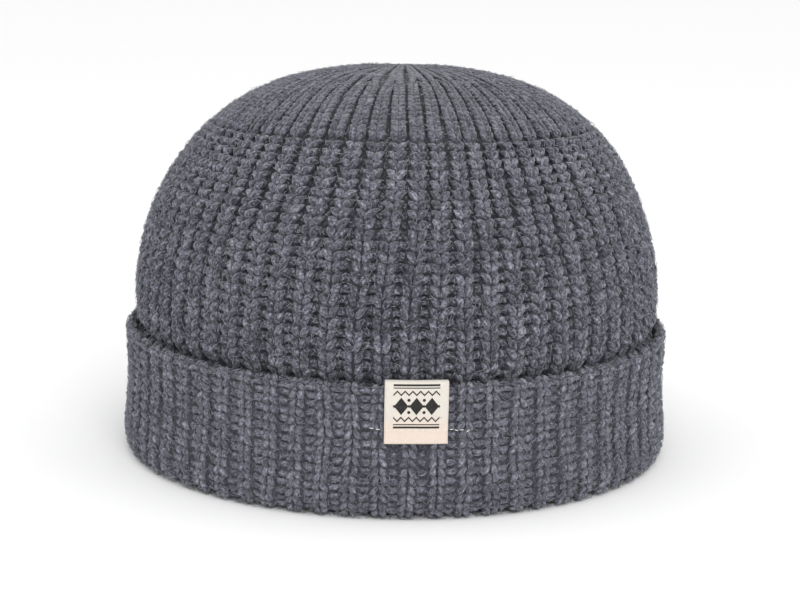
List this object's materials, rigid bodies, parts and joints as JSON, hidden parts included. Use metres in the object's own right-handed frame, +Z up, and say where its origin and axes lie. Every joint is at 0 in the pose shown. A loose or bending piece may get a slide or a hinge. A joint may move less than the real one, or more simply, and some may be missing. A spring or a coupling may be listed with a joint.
{
  "type": "fisherman beanie",
  "caption": "Chunky ribbed knit beanie with a rounded crown, a turned-up cuff and a small woven label folded over the cuff's edge.",
  "frame": {"origin": "middle of the rim's resting plane, below the centre of the whole hat", "axes": "+Z up through the crown's apex, the front with the label faces -Y, +X is to the right seen from the front"},
  "size_m": [0.1838, 0.2026, 0.1279],
  "materials": {
    "crown_wool": "heathered charcoal wool in a chunky rib knit",
    "cuff_wool": "the same heathered wool, flatter rib knit",
    "label_tape": "cream woven cotton tape with a small dark printed ornament"
  },
  "bodies": {
    "root": {"crown": "crown_wool", "cuff": "cuff_wool", "label": "label_tape"}
  },
  "joints": []
}
